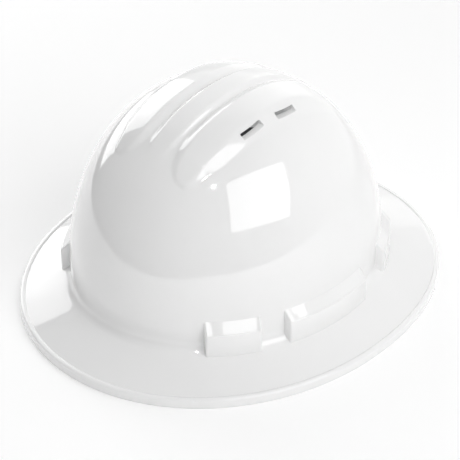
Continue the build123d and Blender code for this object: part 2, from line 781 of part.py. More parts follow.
def make_ratchet_knob():
    """The finger knob: a scalloped cup with a hub that fits the flatted shaft."""
    knob = rear_bar(knob_radius, knob_front, knob_front + knob_length)
    knob = fillet(knob.faces().sort_by(Axis.Y)[-1].edges(), knob_round)
    reach = knob_radius + knob_scallop_radius - knob_scallop_depth
    for lobe in range(knob_lobes):
        turn = 2 * pi * lobe / knob_lobes
        x = reach * cos(turn)
        rise = reach * sin(turn)
        knob -= rear_bar(knob_scallop_radius, 0, knob_front + knob_length + overrun, x, rise)
    inside = knob_radius - knob_scallop_depth - knob_wall
    knob -= rear_bar(inside, 0, knob_floor)
    knob += rear_bar(knob_hub_radius, disc_back + slack, knob_floor)
    knob -= flatted_hole(0, knob_floor)
    knob -= rear_bar(screw_radius + pin_fit, 0, knob_floor + overrun)
    knob -= rear_bar(screw_head_radius + pin_fit, knob_floor + knob_wall - screw_head_length, knob_floor + overrun)
    return knob


def make_knob_screw():
    """Screw through the knob into the end of the pinion's shaft."""
    seat = knob_floor + knob_wall - screw_head_length + pin_fit
    screw = rear_bar(screw_radius, knob_floor - screw_length + slack, seat)
    return screw + rear_bar(screw_head_radius, seat, knob_floor + knob_wall)


def make_cover_screws():
    """Four like screws that hold the cover to the casing."""
    screws = []
    for x, rise in cover_screw_places():
        seat = cover_screw_seat()
        head = rear_bar(screw_head_radius, seat, seat + screw_head_length, x, rise)
        screws.append(head + rear_bar(screw_radius, seat + screw_head_length, seat + screw_head_length + screw_length, x, rise))
    return Compound(children=screws)


def make_nape_pad():
    """Soft pad on the head side of the ratchet's cover."""
    planes = []
    for share in pad_station_shares:
        turn = 180 - degrees(atan(share * nape_pad_half_length / band_half_width))
        plane = band_plane(turn, -cover_thickness - slack - nape_pad_thickness / 2)
        planes.append(Plane(plane * Pos(0, ratchet_height)))
    return pad_loft(planes, nape_pad_height, nape_pad_thickness)


left_pin = make_side_pin()
left_strap = make_nape_strap(0, 1)
right_strap = mirrored(make_nape_strap(slack + nape_strap_thickness + nape_lap_extra, -1))
parts = {
    "shell": make_shell(),
    "front_left_key": make_key(key_pocket_deg),
    "front_right_key": make_key(-key_pocket_deg),
    "rear_left_key": make_key(180 - key_pocket_deg),
    "rear_right_key": make_key(key_pocket_deg - 180),
    "crown_strap_lower": make_crown_strap(key_pocket_deg, key_pocket_deg - 180, 0),
    "crown_strap_upper": make_crown_strap(-key_pocket_deg, 180 - key_pocket_deg, strap_thickness + strap_cross_gap),
    "headband": make_headband(),
    "brow_pad": make_brow_pad(),
    "left_side_pin": left_pin,
    "right_side_pin": mirrored(left_pin),
    "left_nape_strap": left_strap,
    "right_nape_strap": right_strap,
    "ratchet_housing": make_ratchet_housing(),
    "ratchet_cover": make_ratchet_cover(),
    "ratchet_pinion": make_ratchet_pinion(),
    "click_disc": make_click_disc(),
    "ratchet_knob": make_ratchet_knob(),
    "knob_screw": make_knob_screw(),
    "cover_screws": make_cover_screws(),
    "nape_pad": make_nape_pad(),
}

os.makedirs("parts", exist_ok=True)
for name, piece in parts.items():
    export_step(piece, f"parts/{name}.step")
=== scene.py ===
"""Full brim hard hat with a ridged, glossy white shell over a strap suspension, dressed piece by piece around the CAD
frame. Lengths in the sections are millimetres, and each finished mesh is brought to metres."""
from math import atan, cos, pi, radians, sin, sqrt

import bmesh
import bpy
import numpy as np
from mathutils import Matrix, Quaternion, Vector


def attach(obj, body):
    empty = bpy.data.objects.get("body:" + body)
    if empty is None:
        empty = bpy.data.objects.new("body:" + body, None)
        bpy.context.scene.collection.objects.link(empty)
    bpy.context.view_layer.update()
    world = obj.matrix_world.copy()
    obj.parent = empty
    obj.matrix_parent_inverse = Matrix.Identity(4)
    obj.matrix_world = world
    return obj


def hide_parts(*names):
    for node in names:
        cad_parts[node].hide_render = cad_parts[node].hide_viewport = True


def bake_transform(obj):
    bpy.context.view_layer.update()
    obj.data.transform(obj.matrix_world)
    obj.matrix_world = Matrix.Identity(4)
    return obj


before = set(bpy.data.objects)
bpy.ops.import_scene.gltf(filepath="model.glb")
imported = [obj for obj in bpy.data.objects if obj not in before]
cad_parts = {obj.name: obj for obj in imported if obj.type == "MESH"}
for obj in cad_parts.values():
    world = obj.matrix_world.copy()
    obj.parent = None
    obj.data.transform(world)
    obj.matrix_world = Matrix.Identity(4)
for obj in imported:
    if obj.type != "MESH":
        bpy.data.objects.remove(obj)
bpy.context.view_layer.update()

millimetre = 0.001

# Shell. One injection moulding in glossy white plastic, 2.6 mm thick all over. The dome is an oval at every level,
# and runs through a concave fillet into the sloping brim, which ends in a bead with a turned-down edge. Three
# hollow ridges run over the crown, with two vents in the outer flank of each side ridge.
wall = 2.6
dome_front, dome_rear, dome_half_width = 127.2, 120.7, 106.3
dome_apex_y, dome_base, dome_top = 4.0, 26.5, 160.5
front_fullness, rear_fullness, side_fullness = 2.18, 2.0, 2.33
brim_half_width, brim_half_length, rim_front_fullness, rim_rear_fullness = 142.8, 165.0, 2.04, 2.18
rim_height, bead_width, bead_step, brim_root_height = 7.5, 4.0, 0.6, 22.2
junction_radius, junction_lean = 8.0, radians(34)
ridge_middle_y, ridge_front_length, ridge_rear_length, rear_taper, tip_share = -5.0, 76.0, 88.0, 0.96, 0.25
side_ridge = {"middle": 28.5, "half": 9.5, "inner": 6.8, "outer": 11.5, "taper": 1.2, "rise": 4.0, "toe": 0.5}
middle_ridge = {"middle": 0.0, "half": 8.0, "inner": 3.6, "outer": 3.6, "taper": 0.96, "rise": 3.12, "toe": 1.5}
crest_softness, foot_softness, ridge_squareness, least_run = 0.6, 0.5, 8, 0.2
turns, brim_run, weld_distance, shell_sharp_deg = 360, 34, 0.01, 32
dome_rings_low, dome_rings_crown, crown_start = 30, 100, radians(48)
fillet_rings, brim_rings, inner_dome_rings = 9, 10, 44


def profile_share(height, fullness, top):
    """Share of its base size that a profile keeps at a height: upright at the base and level at the top."""
    rise = np.clip((height - dome_base) / (top - dome_base), 0, 1)
    return (1 - rise ** fullness) ** (1 / fullness)


def dome_oval(height, grown):
    """Centre, half width and half length of the dome's oval at a height."""
    top = dome_top + grown
    front = dome_apex_y - (dome_apex_y + dome_front + grown) * profile_share(height, front_fullness, top)
    rear = dome_apex_y + (dome_rear - dome_apex_y + grown) * profile_share(height, rear_fullness, top)
    return (front + rear) / 2, (dome_half_width + grown) * profile_share(height, side_fullness, top), (rear - front) / 2


def dome_height(x, y):
    """Height of the dome's outer face above points of the plan."""
    low, high = np.full(np.shape(x), dome_base), np.full(np.shape(x), dome_top)
    for _ in range(30):
        middle = (low + high) / 2
        centre, half_width, half_length = dome_oval(middle, 0)
        inside = (x / half_width) ** 2 + ((y - centre) / half_length) ** 2 < 1
        low, high = np.where(inside, middle, low), np.where(inside, high, middle)
    return low


def soft_least(a, b, softness):
    """The lesser of two heights, rounded over where they meet."""
    return np.minimum(a, b) - np.maximum(softness - np.abs(a - b), 0) ** 2 / (4 * softness)


def ridge_lift(x, y, inset):
    """How far the ridges raise the dome's face. A positive inset narrows the crests for the hollow side."""
    share = np.clip((y - ridge_middle_y) / np.where(y < ridge_middle_y, ridge_front_length, ridge_rear_length), -1, 1)
    narrow = np.sqrt(1 - share ** ridge_squareness)
    lift = np.zeros(np.shape(x))
    for ridge in (side_ridge, middle_ridge):
        across = np.abs(x) if ridge is side_ridge else x
        fade = np.where(share < 0, (1 - share ** 4) ** ridge["toe"], 1 - share ** 2)
        rise = ridge["rise"] * fade
        inner = ridge["middle"] - ridge["half"] * narrow + inset
        outer = ridge["middle"] + ridge["half"] * narrow - inset
        taper = np.where(share < 0, ridge["taper"], rear_taper)
        outer_run = ridge["outer"] * np.sqrt(np.maximum(1 - (share * taper) ** 2, tip_share ** 2))
        inner_side = (across - inner) / (ridge["inner"] * narrow + least_run) * rise + rise
        outer_side = (outer - across) / outer_run * rise + rise
        height = soft_least(soft_least(inner_side, outer_side, crest_softness), rise, crest_softness)
        height = -soft_least(-height, np.zeros(np.shape(x)), foot_softness)
        lift = np.maximum(lift, np.where(rise > 0, height, 0))
    return lift


def rim_point(turn, inset):
    """Point of the brim's outline, drawn in by an inset."""
    power = 2 / np.where(np.sin(turn) > 0, rim_rear_fullness, rim_front_fullness)
    x = (brim_half_width - inset) * np.abs(np.cos(turn)) ** power * np.sign(np.cos(turn))
    y = (brim_half_length - inset) * np.abs(np.sin(turn)) ** power * np.sign(np.sin(turn))
    return x, y


def level_ring(turn, height, grown):
    """Dome points at one level, raised by the ridges."""
    centre, half_width, half_length = dome_oval(height, grown)
    x, y = half_width * np.cos(turn), centre + half_length * np.sin(turn)
    return x, y, height + ridge_lift(x, y, -grown)


def sloped_point(turn, grown, lowered, share, lift):
    """Point between the dome's foot, share 0, and the bead, share 1, lifted off the brim's slope."""
    centre, half_width, half_length = dome_oval(dome_base, grown)
    foot_x, foot_y = half_width * np.cos(turn), centre + half_length * np.sin(turn)
    edge_x, edge_y = rim_point(turn, bead_width)
    start = brim_root_height - lowered - grown * brim_slope
    end = rim_height - bead_step - lowered
    height = start + (end - start) * share + lift + 0 * turn
    return foot_x + (edge_x - foot_x) * share, foot_y + (edge_y - foot_y) * share, height


def junction_point(turn, grown, lowered, radius, run):
    """Point of the round between dome and brim, from the dome, run 0, to the brim, run 1."""
    reach = radius * np.tan(junction_lean)
    edge_x, edge_y = rim_point(turn, bead_width)
    centre, half_width, half_length = dome_oval(dome_base, grown)
    width = np.hypot(edge_x - half_width * np.cos(turn), edge_y - centre - half_length * np.sin(turn))
    fall = (brim_root_height - rim_height + bead_step - grown * brim_slope) / width
    out = reach / np.sqrt(1 + fall ** 2)
    weights = ((1 - run) ** 2, 2 * cos(junction_lean) * run * (1 - run), run ** 2)
    total = sum(weights)
    distance = weights[2] * out / total
    lift = (weights[0] * reach - weights[2] * out * fall) / total + distance * fall
    return sloped_point(turn, grown, lowered, distance / width, lift)


def shell_ring(index, turn):
    """Points of one ring of the shell, counted from the outer apex over the brim to the inner apex."""
    for count, points in ring_plan:
        if index < count:
            return points(index, turn)
        index -= count


def dome_rings(index, turn):
    """Ring of the outer dome, closer together over the crown, where the ridges are."""
    if index < dome_rings_crown:
        level = pi / 2 - (pi / 2 - crown_start) * index / dome_rings_crown
    else:
        level = crown_start * (1 - (index - dome_rings_crown) / dome_rings_low)
    return level_ring(turn, junction_top + (dome_top - junction_top) * sin(level), 0)


def inner_rings(index, turn):
    """Ring of the dome's inner face, from the brim up to the apex."""
    level = pi / 2 * (index + 1) / inner_dome_rings
    return level_ring(turn, inner_top + (dome_top - wall - inner_top) * sin(level), -wall)


def brim_ring(index, turn):
    """Ring of the brim's upper face, from the fillet out to the bead."""
    start = junction_radius * np.tan(junction_lean) / brim_run
    return sloped_point(turn, 0, 0, start + (1 - start) * (index + 1) / (brim_rings + 1), 0)


def under_ring(index, turn):
    """Ring of the brim's underside, from the bead in to the fillet."""
    start = (junction_radius + wall) * np.tan(junction_lean) / brim_run
    return sloped_point(turn, -wall, wall, 1 - (1 - start) * (index + 1) / (brim_rings + 1), 0)


def bead_ring(index, turn):
    """Ring of the bead and its turned-down edge."""
    inset, height = bead_profile[index]
    x, y = rim_point(turn, inset)
    return x, y, np.full(np.shape(turn), height)


brim_slope = (brim_root_height - rim_height + bead_step) / (brim_half_width - bead_width - dome_half_width)
junction_top = brim_root_height + junction_radius * np.tan(junction_lean)
inner_top = brim_root_height - wall + wall * brim_slope + (junction_radius + wall) * np.tan(junction_lean)
bead_profile = [
    (4.0, 6.9), (3.86, 6.93), (3.7, 7.1), (3.52, 7.36), (3.25, 7.5), (2.1, 7.5), (1.5, 7.43), (0.95, 7.22), (0.5, 6.86),
    (0.18, 6.38), (0.03, 5.85), (0, 5.3), (0, 2.8), (0, 0.6), (0.12, 0.2), (0.45, 0), (2.0, 0), (3.55, 0), (3.88, 0.15),
    (4.0, 0.5), (4.0, 2.4), (4.0, 4.3),
]
ring_plan = [
    (dome_rings_crown + dome_rings_low, dome_rings),
    (fillet_rings + 1, lambda i, t: junction_point(t, 0, 0, junction_radius, i / fillet_rings)),
    (brim_rings, brim_ring),
    (len(bead_profile), bead_ring),
    (brim_rings, under_ring),
    (fillet_rings + 1, lambda i, t: junction_point(t, -wall, wall, junction_radius + wall, 1 - i / fillet_rings)),
    (inner_dome_rings, inner_rings),
]
ring_count = sum(count for count, points in ring_plan)

mesh = bmesh.new()
line = [mesh.verts.new((1, 0, index)) for index in range(ring_count)]
for above, below in zip(line, line[1:]):
    mesh.edges.new((above, below))
bmesh.ops.spin(
    mesh, geom=mesh.verts[:] + mesh.edges[:], cent=(0, 0, 0), axis=(0, 0, 1), angle=2 * pi, steps=turns, use_merge=True
)
places = np.array([v.co for v in mesh.verts])
ring_of = np.rint(places[:, 2]).astype(int)
turn_of = np.arctan2(places[:, 1], places[:, 0])
for index in range(ring_count):
    chosen = np.nonzero(ring_of == index)[0]
    places[chosen] = np.stack(shell_ring(index, turn_of[chosen]), axis=1)
for vertex, place in zip(mesh.verts, places):
    vertex.co = place
bmesh.ops.remove_doubles(mesh, verts=mesh.verts, dist=weld_distance)
bmesh.ops.recalc_face_normals(mesh, faces=mesh.faces)


def finished(mesh, name):
    """Object from a bmesh, brought to metres, in the scene."""
    bmesh.ops.scale(mesh, vec=(millimetre,) * 3, verts=mesh.verts)
    data = bpy.data.meshes.new(name)
    mesh.to_mesh(data)
    mesh.free()
    piece = bpy.data.objects.new(name, data)
    bpy.context.scene.collection.objects.link(piece)
    return piece


def settled(piece, sharp_deg):
    """Applies a piece's modifiers, then shades it smooth up to an angle."""
    evaluated = piece.evaluated_get(bpy.context.evaluated_depsgraph_get())
    data = bpy.data.meshes.new_from_object(evaluated)
    piece.modifiers.clear()
    piece.data = data
    data.shade_smooth()
    data.set_sharp_from_angle(angle=radians(sharp_deg))
    return piece


shell = finished(mesh, "shell_moulding")

# Key pockets and side housings, moulded with the shell. Four short ones take the suspension's keys, and the long one
# on each side takes an accessory's blade. Each has an upright face, a sloping top and a slot open from beneath.
pocket_out, pocket_edge, pocket_top, pocket_skin, pocket_round = 6.5, 37.0, 43.5, 2.0, 1.2
pocket_bends, root_depth, pocket_foot, slot_start, near = 14, 1.3, 20.8, -5, 0.01
pockets = [(49.6, 39.0), (85.3, 75.0), (128.6, 46.5)]
vent_length, vent_height, vent_corner, vent_reach = 19.0, 3.4, 0.9, 7.0
vents = [(-24.4, 0.45), (7.6, 0.56)]


def wall_frame(turn_deg):
    """Point of the dome's foot, with the directions outwards and along the wall."""
    turn = radians(turn_deg)
    centre, half_width, half_length = dome_oval(dome_base, 0)
    point = Vector((half_width * sin(turn), centre - half_length * cos(turn), 0))
    outward = Vector((sin(turn) / half_width, -cos(turn) / half_length, 0)).normalized()
    return point, outward, Vector((outward.y, -outward.x, 0))


def bent_to_wall(mesh, turn_deg):
    """Moves vertices given as (along, out, height) to the curved wall."""
    point, outward, along = wall_frame(turn_deg)
    centre, half_width, half_length = dome_oval(dome_base, 0)
    for vertex in mesh.verts:
        across = half_width + vertex.co.y
        length = half_length + vertex.co.y
        start = point + along * vertex.co.x - Vector((0, centre, 0))
        a = (outward.x / across) ** 2 + (outward.y / length) ** 2
        b = start.x * outward.x / across ** 2 + start.y * outward.y / length ** 2
        c = (start.x / across) ** 2 + (start.y / length) ** 2 - 1
        place = point + along * vertex.co.x + outward * ((-b + sqrt(max(b * b - a * c, 0))) / a)
        vertex.co = (place.x, place.y, vertex.co.z)


def wall_block(section, length, turn_deg, rounding):
    """Block along the wall: four section corners (out, height), from the inner lower one round to the inner upper."""
    mesh = bmesh.new()
    bmesh.ops.create_cube(mesh, size=1)
    bmesh.ops.subdivide_edges(
        mesh, edges=[e for e in mesh.edges if abs(e.verts[0].co.x - e.verts[1].co.x) > 0.5], cuts=pocket_bends
    )
    corners = {(-1, -1): section[0], (1, -1): section[1], (1, 1): section[2], (-1, 1): section[3]}
    for vertex in mesh.verts:
        out, height = corners[(1 if vertex.co.y > 0 else -1, 1 if vertex.co.z > 0 else -1)]
        vertex.co = (vertex.co.x * length, out, height)
    if rounding:
        upper = section[2]
        chosen = []
        for edge in mesh.edges:
            first, second = (v.co for v in edge.verts)
            at_end = min(abs(first.x), abs(second.x)) > length / 2 - near
            on_top_edge = min(first.y, second.y) > upper[0] - near and min(first.z, second.z) > upper[1] - near
            outer_side = max(first.y, second.y) > upper[0] - near and max(first.z, second.z) > upper[1] - near
            if on_top_edge or (at_end and outer_side):
                chosen.append(edge)
        bmesh.ops.bevel(
            mesh, geom=chosen, offset=rounding, offset_type="OFFSET", segments=4, profile=0.5, affect="EDGES",
            material=-1,
        )
    bent_to_wall(mesh, turn_deg)
    bmesh.ops.recalc_face_normals(mesh, faces=mesh.faces)
    return mesh


def vent_block(y, share):
    """Rounded block through a vent, pushed in from the side through the side ridge's outer flank."""
    crest_x = side_ridge["middle"] + side_ridge["half"]
    foot_x = crest_x + side_ridge["outer"]
    heights = dome_height(
        np.array([crest_x, foot_x, crest_x, crest_x]), np.array([y, y, y + vent_length, y - vent_length])
    )
    crest_z = heights[0] + side_ridge["rise"]
    along = (heights[2] - heights[3]) / (2 * vent_length)
    place = Vector((crest_x + share * (foot_x - crest_x), y, crest_z - share * (crest_z - heights[1])))
    mesh = bmesh.new()
    bmesh.ops.create_cube(mesh, size=1)
    bmesh.ops.scale(mesh, vec=(2 * vent_reach, vent_length, vent_height), verts=mesh.verts)
    sideways = [e for e in mesh.edges if abs(e.verts[0].co.x - e.verts[1].co.x) > 1]
    bmesh.ops.bevel(
        mesh, geom=sideways, offset=vent_corner, offset_type="OFFSET", segments=5, profile=0.5, affect="EDGES",
        material=-1,
    )
    bmesh.ops.rotate(mesh, cent=(0, 0, 0), matrix=Matrix.Rotation(atan(along), 3, "X"), verts=mesh.verts)
    bmesh.ops.translate(mesh, vec=place, verts=mesh.verts)
    bmesh.ops.recalc_face_normals(mesh, faces=mesh.faces)
    return mesh


def gathered(parts, name):
    """One object from several bmeshes and their mirror images on the wearer's right."""
    whole = bmesh.new()
    for part in parts:
        data = bpy.data.meshes.new(name)
        part.to_mesh(data)
        whole.from_mesh(data)
        bmesh.ops.scale(part, vec=(-1, 1, 1), verts=part.verts)
        bmesh.ops.reverse_faces(part, faces=part.faces)
        part.to_mesh(data)
        whole.from_mesh(data)
        part.free()
        bpy.data.meshes.remove(data)
    return finished(whole, name)


def cut_or_join(piece, tool, operation):
    """Joins a tool object to a piece or cuts it away, and removes the tool."""
    modifier = piece.modifiers.new("moulded", "BOOLEAN")
    modifier.operation = operation
    modifier.solver = "EXACT"
    modifier.object = tool
    data = bpy.data.meshes.new_from_object(piece.evaluated_get(bpy.context.evaluated_depsgraph_get()))
    piece.modifiers.clear()
    piece.data = data
    bpy.data.objects.remove(tool)


root_slope = (pocket_out + root_depth) * brim_slope
outside = [(-root_depth, pocket_foot), (pocket_out, pocket_foot - root_slope), (pocket_out, pocket_edge)]
outside.append((-root_depth, pocket_edge + (pocket_top - pocket_edge) * (pocket_out + root_depth) / pocket_out))
slot_out = pocket_out - pocket_skin
slot_edge = pocket_edge - pocket_skin / 2
inside = [(0, slot_start), (slot_out, slot_start), (slot_out, slot_edge)]
inside.append((0, slot_edge + (pocket_top - pocket_edge) * slot_out / pocket_out))
bodies = [wall_block(outside, length, turn, pocket_round) for turn, length in pockets]
slots = [wall_block(inside, length - 2 * pocket_skin, turn, 0) for turn, length in pockets]
cut_or_join(shell, gathered(bodies, "pocket_bodies"), "UNION")
cut_or_join(shell, gathered(slots + [vent_block(y, share) for y, share in vents], "openings"), "DIFFERENCE")
settled(shell, shell_sharp_deg)
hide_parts("shell")
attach(shell, "hat")


def new_material(name):
    """Material with its node tree and Principled shader."""
    material = bpy.data.materials.new(name)
    material.use_nodes = True
    tree = material.node_tree
    return material, tree, tree.nodes["Principled BSDF"]


def node(tree, kind, **values):
    """Adds a node. Names in capitals are its sockets, written with underscores, and the rest its properties."""
    made = tree.nodes.new(kind)
    for key, value in values.items():
        if key[0].isupper():
            made.inputs[key.replace("_", " ")].default_value = value
        else:
            setattr(made, key, value)
    return made


def effect_group(name, inputs, outputs):
    """Empty shader node group with named number inputs and outputs."""
    tree = bpy.data.node_groups.new(name, "ShaderNodeTree")
    for label, value in inputs.items():
        kind = "NodeSocketVector" if label == "Vector" else "NodeSocketFloat"
        socket = tree.interface.new_socket(name=label, in_out="INPUT", socket_type=kind)
        if label != "Vector":
            socket.default_value = value
    for label in outputs:
        tree.interface.new_socket(name=label, in_out="OUTPUT", socket_type="NodeSocketFloat")
    return tree, tree.nodes.new("NodeGroupInput"), tree.nodes.new("NodeGroupOutput")


def moulded_grain():
    """Fine uneven skin of moulded plastic, as a height, and a cloudy mask for gloss and colour."""
    tree, given, out = effect_group(
        "moulded_grain", {"Vector": None, "Scale": 900.0, "Cloud Scale": 14.0}, ["Height", "Cloud"]
    )
    fine = node(tree, "ShaderNodeTexNoise", Detail=2.0, Roughness=0.5)
    cloud = node(tree, "ShaderNodeTexNoise", Detail=4.0, Roughness=0.6)
    for noise, scale in ((fine, "Scale"), (cloud, "Cloud Scale")):
        tree.links.new(given.outputs["Vector"], noise.inputs["Vector"])
        tree.links.new(given.outputs[scale], noise.inputs["Scale"])
    tree.links.new(fine.outputs["Fac"], out.inputs["Height"])
    tree.links.new(cloud.outputs["Fac"], out.inputs["Cloud"])
    return tree


def hairline_scratches():
    """Sparse hairlines from handling, as a mask."""
    tree, given, out = effect_group("hairline_scratches", {"Vector": None, "Scale": 22.0, "Amount": 0.3}, ["Mask"])
    stretch = node(tree, "ShaderNodeMapping", Rotation=(0.4, 0.9, 0.7), Scale=(1.0, 26.0, 5.0))
    noise = node(tree, "ShaderNodeTexNoise", Detail=3.0, Roughness=0.7)
    narrow = node(tree, "ShaderNodeMapRange", From_Min=0.66, From_Max=0.74)
    amount = node(tree, "ShaderNodeMath", operation="MULTIPLY")
    tree.links.new(given.outputs["Vector"], stretch.inputs["Vector"])
    tree.links.new(stretch.outputs["Vector"], noise.inputs["Vector"])
    tree.links.new(given.outputs["Scale"], noise.inputs["Scale"])
    tree.links.new(noise.outputs["Fac"], narrow.inputs["Value"])
    tree.links.new(narrow.outputs["Result"], amount.inputs[0])
    tree.links.new(given.outputs["Amount"], amount.inputs[1])
    tree.links.new(amount.outputs["Value"], out.inputs["Mask"])
    return tree


grain, hairlines = moulded_grain(), hairline_scratches()


def plastic(name, colour, cloudy_colour, roughness, gloss_spread, grain_scale, grain_depth, scratch_amount):
    """Moulded plastic: clouded colour, uneven gloss, a fine skin and sparse hairlines."""
    material, tree, shader = new_material(name)
    place = node(tree, "ShaderNodeTexCoord")
    skin = node(tree, "ShaderNodeGroup", node_tree=grain, Scale=grain_scale)
    lines = node(tree, "ShaderNodeGroup", node_tree=hairlines, Amount=scratch_amount)
    blend = node(tree, "ShaderNodeMix", data_type="RGBA")
    blend.inputs[6].default_value = colour + (1,)
    blend.inputs[7].default_value = cloudy_colour + (1,)
    gloss = node(tree, "ShaderNodeMapRange", To_Min=roughness - gloss_spread, To_Max=roughness + gloss_spread)
    rougher = node(tree, "ShaderNodeMath", operation="ADD")
    bump = node(tree, "ShaderNodeBump", Strength=1.0, Distance=grain_depth)
    for group in (skin, lines):
        tree.links.new(place.outputs["Object"], group.inputs["Vector"])
    tree.links.new(skin.outputs["Cloud"], blend.inputs["Factor"])
    tree.links.new(skin.outputs["Cloud"], gloss.inputs["Value"])
    tree.links.new(gloss.outputs["Result"], rougher.inputs[0])
    tree.links.new(lines.outputs["Mask"], rougher.inputs[1])
    tree.links.new(skin.outputs["Height"], bump.inputs["Height"])
    tree.links.new(blend.outputs[2], shader.inputs["Base Color"])
    tree.links.new(rougher.outputs["Value"], shader.inputs["Roughness"])
    tree.links.new(bump.outputs["Normal"], shader.inputs["Normal"])
    return material, shader


def coat_in(piece, material):
    """Gives a piece one material in place of its own."""
    piece.data.materials.clear()
    piece.data.materials.append(material)


white_gloss, shader = plastic(
    "white_gloss", (0.935, 0.935, 0.935), (0.915, 0.915, 0.912), 0.07, 0.02, 240.0, 0.000008, 0.06
)
for socket, value in (
    ("IOR", 1.52), ("Coat Weight", 0.6), ("Coat Roughness", 0.02), ("Subsurface Weight", 0.25),
    ("Subsurface Radius", (1, 1, 1)), ("Subsurface Scale", 0.004),
):
    shader.inputs[socket].default_value = value
coat_in(shell, white_gloss)

# Keys, headband and snap pins. Dark moulded nylon, kept as their CAD solids. The keys push up into the shell's pockets
# and carry the headband's corners on their studs.
key_nylon, shader = plastic("key_nylon", (0.19, 0.2, 0.21), (0.22, 0.23, 0.24), 0.42, 0.06, 1400.0, 0.00002, 0.1)
band_nylon, shader = plastic("band_nylon", (0.25, 0.26, 0.27), (0.28, 0.29, 0.3), 0.38, 0.06, 1400.0, 0.00002, 0.1)
for name in ("front_left_key", "front_right_key", "rear_left_key", "rear_right_key", "left_side_pin", "right_side_pin"):
    coat_in(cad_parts[name], key_nylon)
coat_in(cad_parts["headband"], band_nylon)

# Crown straps. Two straps of black woven webbing that cross over the head, the upper one clear of the lower. Each end
# runs round its key's bar and back up the strap's outer face, where a crossed box of grey thread holds it down.
strap_apex, strap_fullness, strap_foot, strap_inward, strap_turn_share = 120.0, 2.2, 49.0, 10.72, 0.3
webbing_width, webbing_thickness, layer_step, tail_length, strap_steps = 19.3, 1.2, 1.25, 21.0, 150
bar_path = [
    (-10.45, 48.2), (-10.2, 47.0), (-10.05, 45.8), (-9.1, 45.1), (-7.9, 45.0), (-6.7, 45.1), (-5.75, 45.8),
    (-5.65, 47.0), (-5.65, 48.2), (-5.85, 49.4), (-6.9, 50.0), (-8.2, 50.0), (-9.05, 50.5), (-9.4, 51.6),
]
tail_start, tail_margin, selvedge_round = 3.5, 5, 0.3
box_start, box_length, box_width, stitch_pitch = 5.0, 14.0, 13.0, 2.6
stitch_half_share, thread_half_width, thread_half_height = 0.46, 0.34, 0.26
key_turn, lifted_strap = 49.6, 2.0


def strap_line(front_turn, rear_turn, lifted):
    """Middle line of a crown strap between its keys, with the directions across it and away from the head."""
    feet, widths = [], []
    for turn in (front_turn, rear_turn):
        point, out, along = wall_frame(turn)
        feet.append(point - out * strap_inward + Vector((0, 0, strap_foot)))
        widths.append(along)
    middle, half_span = (feet[0] + feet[1]) / 2, (feet[0] - feet[1]).length / 2
    run = (feet[0] - feet[1]).normalized()
    square = Vector((-run.y, run.x, 0))
    rise = strap_apex + lifted - strap_foot
    line = []
    for step in range(strap_steps + 1):
        level = pi * step / strap_steps
        c, s = cos(level), sin(level)
        reach = half_span * abs(c) ** (2 / strap_fullness) * (1 if c > 0 else -1)
        place = middle + run * reach + Vector((0, 0, rise * abs(s) ** (2 / strap_fullness)))
        slope_in = abs(c) ** (2 - 2 / strap_fullness) / half_span * (1 if c > 0 else -1)
        outward = (run * slope_in + Vector((0, 0, abs(s) ** (2 - 2 / strap_fullness) / rise))).normalized()
        turned = max(1 - min(step, strap_steps - step) / (strap_steps * strap_turn_share), 0)
        turned = turned * turned * (3 - 2 * turned)
        key_width = widths[0] if step < strap_steps / 2 else widths[1]
        if key_width.dot(square) < 0:
            key_width = -key_width
        line.append((place, (square * (1 - turned) + key_width * turned).normalized(), outward))
    return line


def sewn_tail(line, turn):
    """The strap's way round its key's bar and back up its outer face, and the box sewn there as (place, along, out)."""
    point, out, along = wall_frame(turn)
    width = along if along.dot(line[0][1]) > 0 else -along
    tail = [(point + out * reach + Vector((0, 0, height)), width) for reach, height in bar_path]
    gone, stations = 0, [(0,) + line[0]]
    for (last, _, _), (place, across, outward) in zip(line, line[1:]):
        gone += (place - last).length
        stations.append((gone, place, across, outward))
        if tail_start < gone < tail_length:
            tail.append((place + outward * layer_step, across))
        if gone > tail_length + tail_margin:
            break
    box_end = box_start + box_length
    corners = [(box_start, -1), (box_start, 1), (box_end, -1), (box_end, 1), (box_start, -1)]
    stitches = []
    for (d0, s0), (d1, s1) in zip(corners + [(box_start, 1), (box_start, -1)], corners[1:] + [corners[3], corners[2]]):
        count = max(round(sqrt((d1 - d0) ** 2 + ((s1 - s0) * box_width / 2) ** 2) / stitch_pitch), 1)
        for step in range(count):
            share = (step + 0.5) / count
            distance, side = d0 + (d1 - d0) * share, (s0 + (s1 - s0) * share) * box_width / 2
            gone, place, across, outward = min(stations, key=lambda station: abs(station[0] - distance))
            upwards = across.cross(outward).normalized()
            if upwards.z < 0:
                upwards = -upwards
            place = place + upwards * (distance - gone) + across * side
            direction = (upwards * (d1 - d0) + across * ((s1 - s0) * box_width / 2)).normalized()
            depth = webbing_thickness / 2
            stitches.append((place - outward * depth, direction, outward))
            stitches.append((place + outward * (layer_step + depth), direction, outward))
    return tail, stitches


